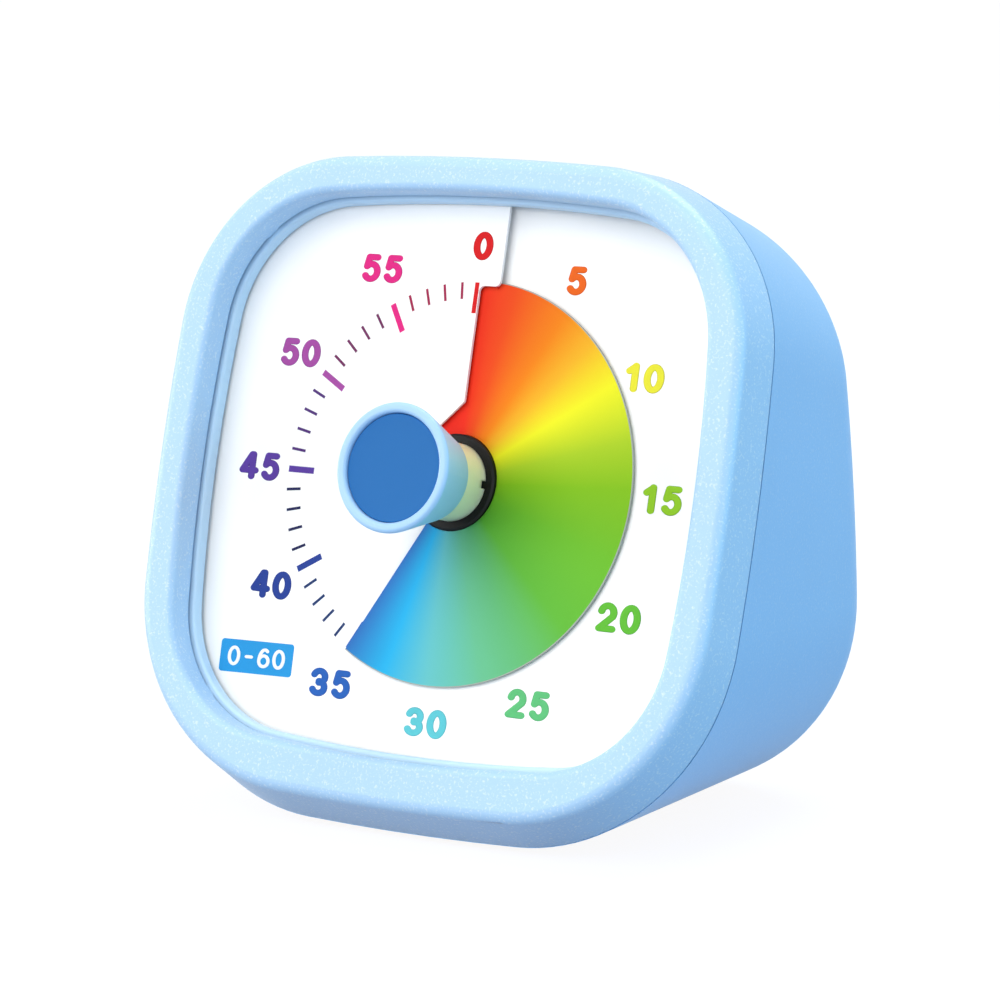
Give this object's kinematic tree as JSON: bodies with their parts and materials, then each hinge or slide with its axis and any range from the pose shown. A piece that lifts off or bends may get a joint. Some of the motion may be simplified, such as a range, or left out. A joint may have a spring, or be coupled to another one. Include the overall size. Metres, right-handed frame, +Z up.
{
  "type": "visual countdown timer",
  "caption": "Square sixty-minute countdown timer on a leaning stand, with a rainbow disc that shows the time left, a centre knob and a battery door behind.",
  "frame": {"origin": "centre of the timer's footprint, on the table", "axes": "+Z up, -Y towards the person who reads the dial, +X to that person's right"},
  "size_m": [0.0844, 0.0592, 0.0823],
  "materials": {
    "housing": "fine spark-eroded ABS, light blue",
    "cap": "smooth ABS, deep blue",
    "dial_white": "white polypropylene sheet, printed",
    "inner_white": "plain moulded ABS",
    "film": "printed polyester film",
    "black_plastic": "plain moulded ABS",
    "natural_plastic": "natural acetal",
    "gear_plastic": "white acetal",
    "steel": "zinc plated",
    "brass": "turned",
    "ferrite": "sintered magnet",
    "iron": "stamped silicon steel",
    "copper": "enamelled copper wire",
    "board": "solder-masked laminate",
    "resin": "potting resin",
    "cell": "printed jacket on a steel can",
    "rubber": "moulded",
    "insulation": "PVC insulation"
  },
  "bodies": {
    "root": {"front_bezel": "housing", "rear_shell": "housing", "rubber_feet": "rubber", "case_screws": "steel", "dial_frame": "housing", "dial_sheet": "dial_white", "dial_plate": "inner_white", "frame_screws": "steel", "centre_bush": "brass", "contact_blade": "steel", "stator": "iron", "coil_core": "iron", "coil_bobbin": "natural_plastic", "coil_winding": "copper", "movement_base": "black_plastic", "movement_cover": "black_plastic", "movement_screws": "steel", "circuit_board": "board", "timer_chip": "resin", "crystal": "steel", "battery_cell": "cell", "spring_contact": "steel", "plate_contact": "steel", "battery_leads": "insulation", "buzzer": "black_plastic", "buzzer_leads": "insulation", "switch_leads": "insulation", "switch_body": "black_plastic", "switch_screws": "steel"},
    "knob": {"knob": "housing", "knob_cap": "cap", "hub_sleeve": "natural_plastic", "centre_arbor": "steel", "centre_wheel": "gear_plastic", "clutch_spring": "steel", "retaining_clip": "steel", "zero_cam": "gear_plastic"},
    "disc": {"disc_film": "film", "disc_carrier": "black_plastic"},
    "third_wheel": {"third_wheel": "gear_plastic"},
    "fourth_wheel": {"fourth_wheel": "gear_plastic"},
    "fifth_wheel": {"fifth_wheel": "gear_plastic"},
    "rotor": {"rotor_pinion": "gear_plastic", "rotor_magnet": "ferrite"},
    "door": {"battery_door": "housing"},
    "switch": {"switch_slider": "black_plastic"}
  },
  "joints": [
    {"name": "knob_turn", "type": "hinge", "parent": "root", "child": "knob", "pos_m": [0, -0.01349, 0.0427], "axis": [0, 0.9692, -0.2462], "range_deg": [-210, 150]},
    {"name": "disc_lift", "type": "slide", "parent": "knob", "child": "disc", "axis": [0, -0.9692, 0.2462], "range_m": [-0.00072, 0.00052]},
    {"name": "third_spin", "type": "hinge", "parent": "root", "child": "third_wheel", "pos_m": [-0.0078, -0.00096, 0.05101], "axis": [0, 0.9692, -0.2462], "range_deg": [-1125, 1575]},
    {"name": "fourth_spin", "type": "hinge", "parent": "root", "child": "fourth_wheel", "pos_m": [0.00461, 0.0021, 0.05249], "axis": [0, 0.9692, -0.2462], "range_deg": [-12600, 9000]},
    {"name": "fifth_spin", "type": "hinge", "parent": "root", "child": "fifth_wheel", "pos_m": [0.01321, 0.00285, 0.04609], "axis": [0, 0.9692, -0.2462], "range_deg": [-54000, 75600]},
    {"name": "rotor_spin", "type": "hinge", "parent": "root", "child": "rotor", "pos_m": [0.01451, 0.00103, 0.03893], "axis": [0, 0.9692, -0.2462], "range_deg": [-378000, 270000]},
    {"name": "door_swing", "type": "hinge", "parent": "root", "child": "door", "pos_m": [0, 0.02719, 0.02736], "axis": [-1, 0, 0], "range_deg": [0, 80]},
    {"name": "switch_slide", "type": "slide", "parent": "root", "child": "switch", "axis": [1, 0, 0], "range_m": [-0.002, 0.002]}
  ],
  "couplings": [
    {"joint": "disc_lift", "follows": "knob_turn", "m_per_rad": 0.00019099},
    {"joint": "third_spin", "follows": "knob_turn", "ratio": -7.5},
    {"joint": "fourth_spin", "follows": "knob_turn", "ratio": 60},
    {"joint": "fifth_spin", "follows": "knob_turn", "ratio": -360},
    {"joint": "rotor_spin", "follows": "knob_turn", "ratio": 1800}
  ]
}
